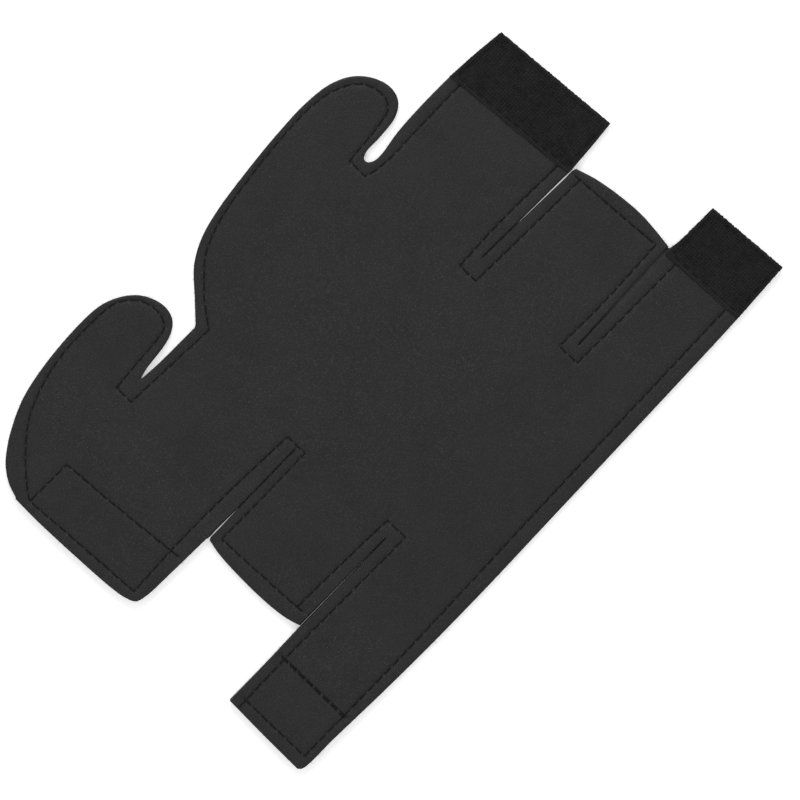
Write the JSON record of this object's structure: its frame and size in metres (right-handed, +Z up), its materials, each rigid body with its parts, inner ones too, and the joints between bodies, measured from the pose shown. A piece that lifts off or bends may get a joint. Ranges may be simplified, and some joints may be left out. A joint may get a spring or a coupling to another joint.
{
  "type": "wrap-around leather hand guard",
  "caption": "Flat die-cut leather hand guard with slit flaps, hooked lobes and touch-and-close end pads that curls into a closed sleeve.",
  "frame": {"origin": "middle of the open guard's outline, on the surface it lies on", "axes": "+X along the guard towards the ends with loop tape, +Y towards the lobes, +Z up out of the grain side"},
  "size_m": [0.2096, 0.1435, 0.0046],
  "materials": {
    "face_leather": "fine satin grain",
    "lining": "soft brushed backing",
    "loop_tape": "looped pile",
    "hook_tape": "woven tape with small hooks",
    "thread": "twisted sewing thread"
  },
  "bodies": {
    "palm_centre": {"palm_centre_leather": "face_leather", "palm_centre_lining": "lining", "palm_centre_seam": "thread"},
    "palm_left": {"palm_left_leather": "face_leather", "palm_left_lining": "lining", "palm_left_seam": "thread"},
    "upper_left_flap": {"upper_left_flap_leather": "face_leather", "upper_left_flap_lining": "lining", "upper_left_flap_seam": "thread"},
    "upper_left_end": {"upper_left_end_leather": "face_leather", "upper_left_end_lining": "lining", "upper_left_end_seam": "thread", "upper_left_hook_pad": "hook_tape", "upper_left_hook_pad_seam": "thread"},
    "left_lobe_tip": {"left_lobe_tip_leather": "face_leather", "left_lobe_tip_lining": "lining", "left_lobe_tip_seam": "thread"},
    "left_tongue": {"left_tongue_leather": "face_leather", "left_tongue_lining": "lining", "left_tongue_seam": "thread"},
    "lower_left_strap": {"lower_left_strap_leather": "face_leather", "lower_left_strap_lining": "lining", "lower_left_strap_seam": "thread"},
    "lower_left_end": {"lower_left_end_leather": "face_leather", "lower_left_end_lining": "lining", "lower_left_end_seam": "thread", "lower_left_hook_pad": "hook_tape", "lower_left_hook_pad_seam": "thread"},
    "palm_right": {"palm_right_leather": "face_leather", "palm_right_lining": "lining", "palm_right_seam": "thread"},
    "right_lobe_tip": {"right_lobe_tip_leather": "face_leather", "right_lobe_tip_lining": "lining", "right_lobe_tip_seam": "thread"},
    "upper_right_flap": {"upper_right_flap_leather": "face_leather", "upper_right_flap_lining": "lining", "upper_right_flap_seam": "thread"},
    "upper_right_end": {"upper_right_end_leather": "face_leather", "upper_right_end_lining": "lining", "upper_right_end_seam": "thread", "upper_right_loop_pad": "loop_tape", "upper_right_loop_pad_seam": "thread"},
    "right_tongue": {"right_tongue_leather": "face_leather", "right_tongue_lining": "lining", "right_tongue_seam": "thread"},
    "lower_right_strap": {"lower_right_strap_leather": "face_leather", "lower_right_strap_lining": "lining", "lower_right_strap_seam": "thread"},
    "lower_right_end": {"lower_right_end_leather": "face_leather", "lower_right_end_lining": "lining", "lower_right_end_seam": "thread", "lower_right_loop_pad": "loop_tape", "lower_right_loop_pad_seam": "thread"}
  },
  "joints": [
    {"name": "palm_left_bend", "type": "hinge", "parent": "palm_centre", "child": "palm_left", "pos_m": [-0.017, 0, 0.0023], "axis": [0, 1, 0], "range_deg": [0, 60], "stiffness_Nm_per_rad": 0.06},
    {"name": "upper_left_flap_bend", "type": "hinge", "parent": "palm_left", "child": "upper_left_flap", "pos_m": [-0.045, 0, 0.0023], "axis": [0, 1, 0], "range_deg": [0, 60], "stiffness_Nm_per_rad": 0.02},
    {"name": "upper_left_end_bend", "type": "hinge", "parent": "upper_left_flap", "child": "upper_left_end", "pos_m": [-0.07303, 0, 0.0023], "axis": [0, 1, 0], "range_deg": [0, 60], "stiffness_Nm_per_rad": 0.02},
    {"name": "left_lobe_bend", "type": "hinge", "parent": "upper_left_flap", "child": "left_lobe_tip", "pos_m": [-0.045, 0, 0.0023], "axis": [0, -1, 0], "range_deg": [0, 60], "stiffness_Nm_per_rad": 0.01},
    {"name": "left_tongue_bend", "type": "hinge", "parent": "palm_left", "child": "left_tongue", "pos_m": [-0.045, 0, 0.0023], "axis": [0, 1, 0], "range_deg": [0, 60], "stiffness_Nm_per_rad": 0.018},
    {"name": "lower_left_strap_bend", "type": "hinge", "parent": "palm_left", "child": "lower_left_strap", "pos_m": [-0.045, 0, 0.0023], "axis": [0, 1, 0], "range_deg": [0, 60], "stiffness_Nm_per_rad": 0.013},
    {"name": "lower_left_end_bend", "type": "hinge", "parent": "lower_left_strap", "child": "lower_left_end", "pos_m": [-0.07303, 0, 0.0023], "axis": [0, 1, 0], "range_deg": [0, 60], "stiffness_Nm_per_rad": 0.013},
    {"name": "palm_right_bend", "type": "hinge", "parent": "palm_centre", "child": "palm_right", "pos_m": [0.014, 0, 0.0023], "axis": [0, -1, 0], "range_deg": [0, 60], "stiffness_Nm_per_rad": 0.06},
    {"name": "right_lobe_bend", "type": "hinge", "parent": "palm_right", "child": "right_lobe_tip", "pos_m": [0.0466, 0, 0.0023], "axis": [0, -1, 0], "range_deg": [0, 60], "stiffness_Nm_per_rad": 0.01},
    {"name": "upper_right_flap_bend", "type": "hinge", "parent": "palm_right", "child": "upper_right_flap", "pos_m": [0.0466, 0, 0.0023], "axis": [0, -1, 0], "range_deg": [0, 60], "stiffness_Nm_per_rad": 0.02},
    {"name": "upper_right_end_bend", "type": "hinge", "parent": "upper_right_flap", "child": "upper_right_end", "pos_m": [0.0758, 0, 0.0023], "axis": [0, -1, 0], "range_deg": [0, 60], "stiffness_Nm_per_rad": 0.02},
    {"name": "right_tongue_bend", "type": "hinge", "parent": "palm_right", "child": "right_tongue", "pos_m": [0.0466, 0, 0.0023], "axis": [0, -1, 0], "range_deg": [0, 60], "stiffness_Nm_per_rad": 0.018},
    {"name": "lower_right_strap_bend", "type": "hinge", "parent": "palm_right", "child": "lower_right_strap", "pos_m": [0.0466, 0, 0.0023], "axis": [0, -1, 0], "range_deg": [0, 60], "stiffness_Nm_per_rad": 0.013},
    {"name": "lower_right_end_bend", "type": "hinge", "parent": "lower_right_strap", "child": "lower_right_end", "pos_m": [0.0758, 0, 0.0023], "axis": [0, -1, 0], "range_deg": [0, 60], "stiffness_Nm_per_rad": 0.013}
  ],
  "couplings": [
    {"joint": "upper_left_end_bend", "follows": "upper_left_flap_bend", "ratio": 1},
    {"joint": "left_lobe_bend", "follows": "upper_left_flap_bend", "ratio": 1},
    {"joint": "lower_left_end_bend", "follows": "lower_left_strap_bend", "ratio": 1},
    {"joint": "upper_right_end_bend", "follows": "upper_right_flap_bend", "ratio": 1},
    {"joint": "lower_right_end_bend", "follows": "lower_right_strap_bend", "ratio": 1}
  ]
}
